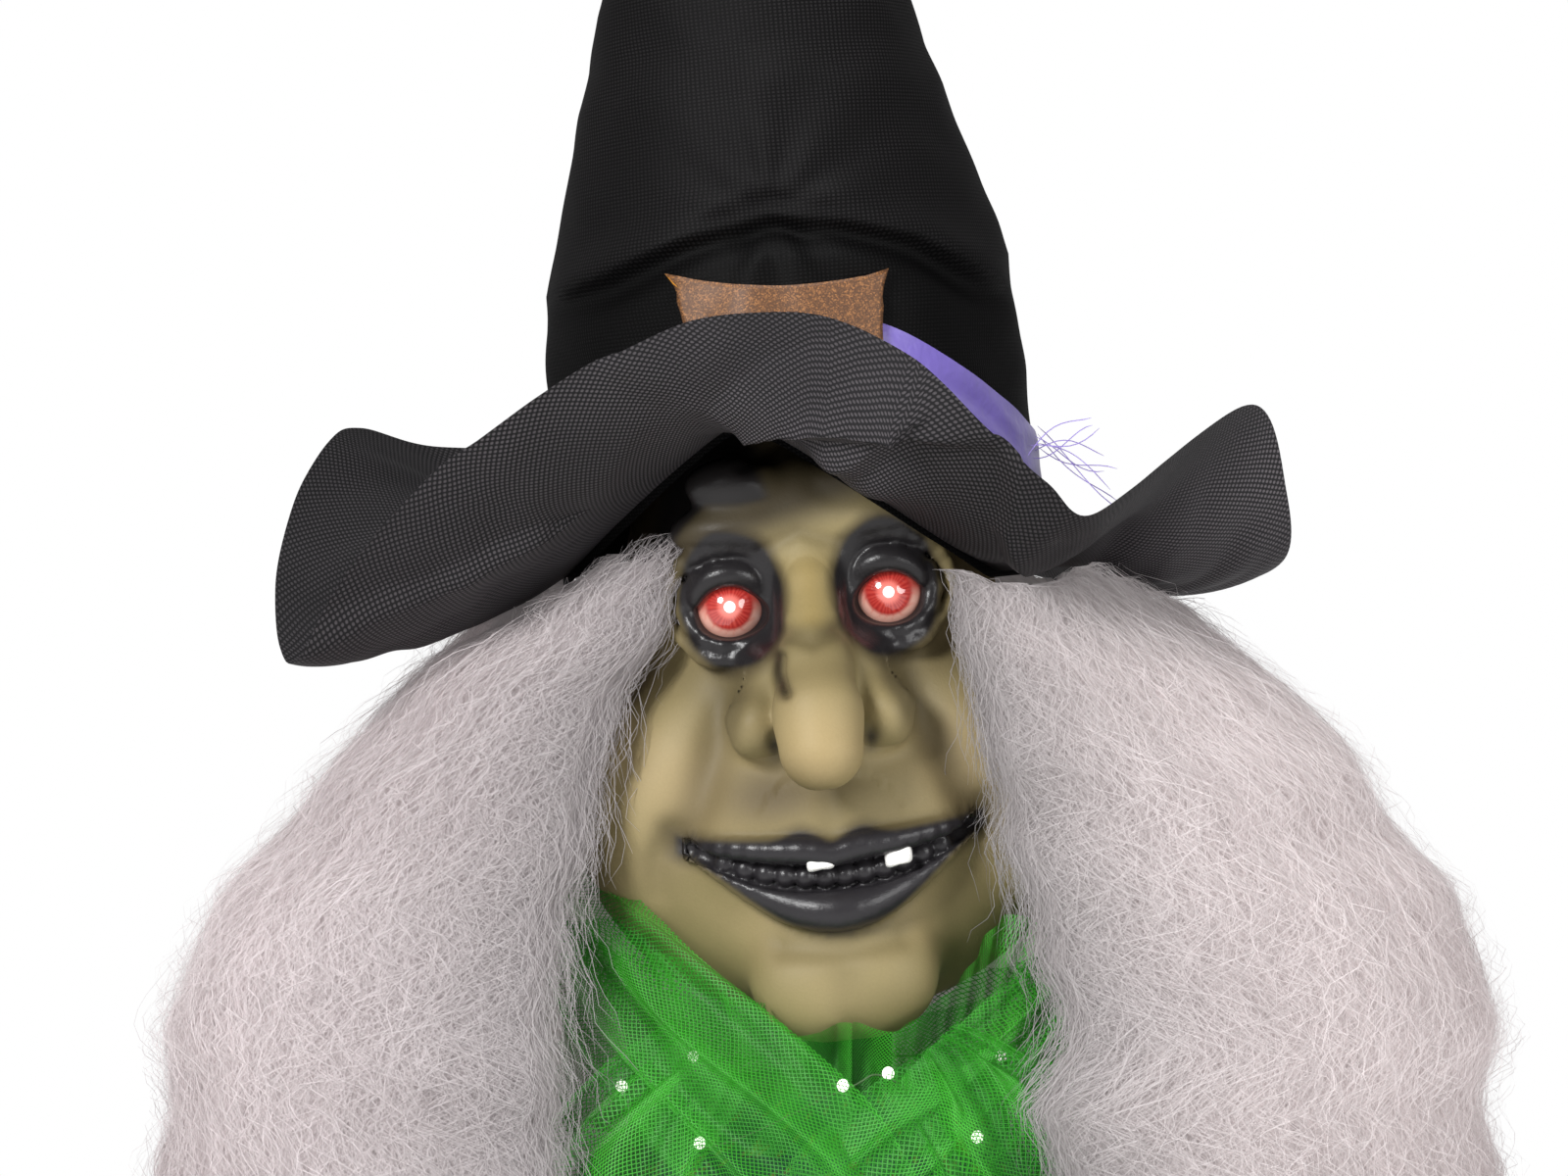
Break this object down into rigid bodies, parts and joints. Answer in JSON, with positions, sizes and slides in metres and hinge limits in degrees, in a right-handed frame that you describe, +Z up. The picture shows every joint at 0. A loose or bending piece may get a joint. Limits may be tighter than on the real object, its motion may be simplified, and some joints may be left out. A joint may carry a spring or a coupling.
{
  "type": "animated witch figure",
  "caption": "Standing costumed witch figure with a motor-turned waist, turning head, posable arms, lit eyes, long hair, a pointed brimmed hat and a gathered net collar.",
  "frame": {"origin": "on the floor, under the centre of the middle rubber foot, on the pole's axis", "axes": "+Z up along the pole, the figure faces -Y and its own left side is +X"},
  "size_m": [0.584, 0.6006, 1.5246],
  "materials": {
    "black_steel": "satin powder coat",
    "plated_steel": "satin",
    "rubber": "matte",
    "black_plastic": "fine texture",
    "grey_plastic": "matte",
    "gear_plastic": "smooth",
    "red_plastic": "smooth",
    "circuit": "satin",
    "battery": "gloss",
    "skin_vinyl": "painted vinyl, semi-matte",
    "skull_plastic": "matte",
    "clear_dome": "clear",
    "red_lamp": "lit",
    "bead_lamp": "lit",
    "tooth": "semi-gloss",
    "hat_cloth": "non-woven, dotted",
    "satin_ribbon": "satin",
    "glitter_foam": "glitter",
    "hair_fibre": "soft fibre",
    "green_net": "open net",
    "dress_cloth": "soft woven"
  },
  "bodies": {
    "stand": {"base_plate": "black_steel", "base_feet": "rubber", "pole_socket": "black_steel", "socket_thumbscrew": "black_plastic", "pole_lower": "black_steel", "pole_upper": "black_steel", "drive_housing": "black_plastic", "drive_cover": "black_plastic", "motor_body": "plated_steel", "idler_pin": "plated_steel", "thrust_washer": "gear_plastic", "drive_lead": "rubber", "control_box_tub": "black_plastic", "control_box_lid": "black_plastic", "door_hinge_pin": "plated_steel", "battery_cells": "battery", "circuit_board": "circuit", "speaker": "black_plastic", "dc_jack": "black_plastic", "case_screws": "plated_steel"},
    "door": {"battery_door": "black_plastic"},
    "switch_slider": {"power_switch": "grey_plastic"},
    "button": {"test_button": "red_plastic"},
    "idler": {"idler_gear": "gear_plastic"},
    "rotor": {"motor_pinion": "gear_plastic"},
    "torso": {"waist_gear": "gear_plastic", "waist_hub": "black_plastic", "spine_tube": "black_steel", "neck_post": "black_plastic", "shoulder_bar": "plated_steel", "chest_form_front": "grey_plastic", "chest_form_back": "grey_plastic", "neck_yoke": "black_plastic", "dress_bodice": "dress_cloth", "dress_skirt": "dress_cloth", "tulle_collar": "green_net", "collar_lights": "bead_lamp"},
    "head": {"neck_socket": "black_plastic", "face_mask": "skin_vinyl", "skull_shell": "skull_plastic", "eyes": "clear_dome", "eye_lamps": "red_lamp", "eye_carrier": "black_plastic", "teeth": "tooth", "hat_crown": "hat_cloth", "hat_brim": "hat_cloth", "hat_band": "satin_ribbon", "hat_buckle": "glitter_foam", "hair_left": "hair_fibre", "hair_right": "hair_fibre"},
    "upper_arm_left": {"upper_arm_left": "grey_plastic", "upper_sleeve_left": "dress_cloth"},
    "forearm_left": {"forearm_left": "grey_plastic", "hand_left": "skin_vinyl", "lower_sleeve_left": "dress_cloth"},
    "upper_arm_right": {"upper_arm_right": "grey_plastic", "upper_sleeve_right": "dress_cloth"},
    "forearm_right": {"forearm_right": "grey_plastic", "hand_right": "skin_vinyl", "lower_sleeve_right": "dress_cloth"}
  },
  "joints": [
    {"name": "waist_turn", "type": "hinge", "parent": "stand", "child": "torso", "pos_m": [0, 0, 0.471], "axis": [0, 0, 1], "range_deg": [-25, 25]},
    {"name": "idler_spin", "type": "hinge", "parent": "stand", "child": "idler", "pos_m": [0, 0.04505, 0.471], "axis": [0, 0, 1], "range_deg": [-101, 101]},
    {"name": "motor_spin", "type": "hinge", "parent": "stand", "child": "rotor", "pos_m": [0.02305, 0.04505, 0.48], "axis": [0, 0, 1], "range_deg": [-362, 362]},
    {"name": "head_turn", "type": "hinge", "parent": "torso", "child": "head", "pos_m": [0, 0, 0.88], "axis": [0, 0, 1], "range_deg": [-22, 22], "deforming": ["hair_left", "hair_right"]},
    {"name": "battery_door_hinge", "type": "hinge", "parent": "stand", "child": "door", "pos_m": [-0.021, 0.0624, 0.0554], "axis": [1, 0, 0], "range_deg": [0, 100]},
    {"name": "power_switch_slide", "type": "slide", "parent": "stand", "child": "switch_slider", "axis": [1, 0, 0], "range_m": [-0.004, 0.004]},
    {"name": "test_button_press", "type": "slide", "parent": "stand", "child": "button", "axis": [0, 0, -1], "range_m": [0, 0.002], "stiffness_N_per_m": 300},
    {"name": "shoulder_left", "type": "hinge", "parent": "torso", "child": "upper_arm_left", "pos_m": [0.178, 0, 0.8], "axis": [-1, 0, 0], "range_deg": [-10, 35]},
    {"name": "elbow_left", "type": "hinge", "parent": "upper_arm_left", "child": "forearm_left", "pos_m": [0.178, 0, 0.585], "axis": [-1, 0, 0], "range_deg": [-20, 30]},
    {"name": "shoulder_right", "type": "hinge", "parent": "torso", "child": "upper_arm_right", "pos_m": [-0.178, 0, 0.8], "axis": [-1, 0, 0], "range_deg": [-10, 35]},
    {"name": "elbow_right", "type": "hinge", "parent": "upper_arm_right", "child": "forearm_right", "pos_m": [-0.178, 0, 0.585], "axis": [-1, 0, 0], "range_deg": [-20, 30]}
  ],
  "couplings": [
    {"joint": "idler_spin", "follows": "waist_turn", "ratio": -4},
    {"joint": "motor_spin", "follows": "waist_turn", "ratio": 14.4}
  ]
}
